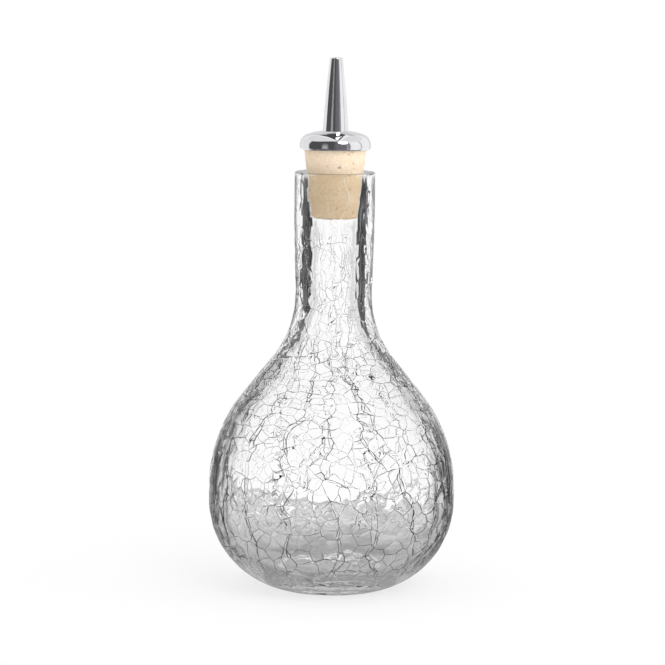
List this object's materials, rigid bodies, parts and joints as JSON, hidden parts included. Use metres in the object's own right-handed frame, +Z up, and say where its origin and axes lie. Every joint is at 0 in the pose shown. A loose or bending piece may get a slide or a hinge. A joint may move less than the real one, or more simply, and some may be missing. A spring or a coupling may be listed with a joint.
{
  "type": "bitters bottle",
  "caption": "Round-bellied crackle-glass bottle with a straight neck, closed by a tapered cork stopper with a metal dasher cap and pouring spout.",
  "frame": {"origin": "centre of the ring-shaped foot, on the surface the bottle stands on", "axes": "+Z up along the bottle's axis, towards the spout's tip; the bottle is round, so X and Y are free"},
  "size_m": [0.0822, 0.0822, 0.1767],
  "materials": {
    "clear_glass": "clear, crackled inside, smooth outside",
    "cork": "natural cork, matt",
    "polished_metal": "mirror polish",
    "tube_metal": "drawn tube"
  },
  "bodies": {
    "bottle": {"glass_bottle": "clear_glass"},
    "stopper": {"cork_stopper": "cork", "dasher_cap": "polished_metal", "dasher_spout": "polished_metal", "pour_tube": "tube_metal"}
  },
  "joints": [
    {"name": "stopper_lift", "type": "slide", "parent": "bottle", "child": "stopper", "axis": [0, 0, 1], "range_m": [0, 0.04]}
  ]
}
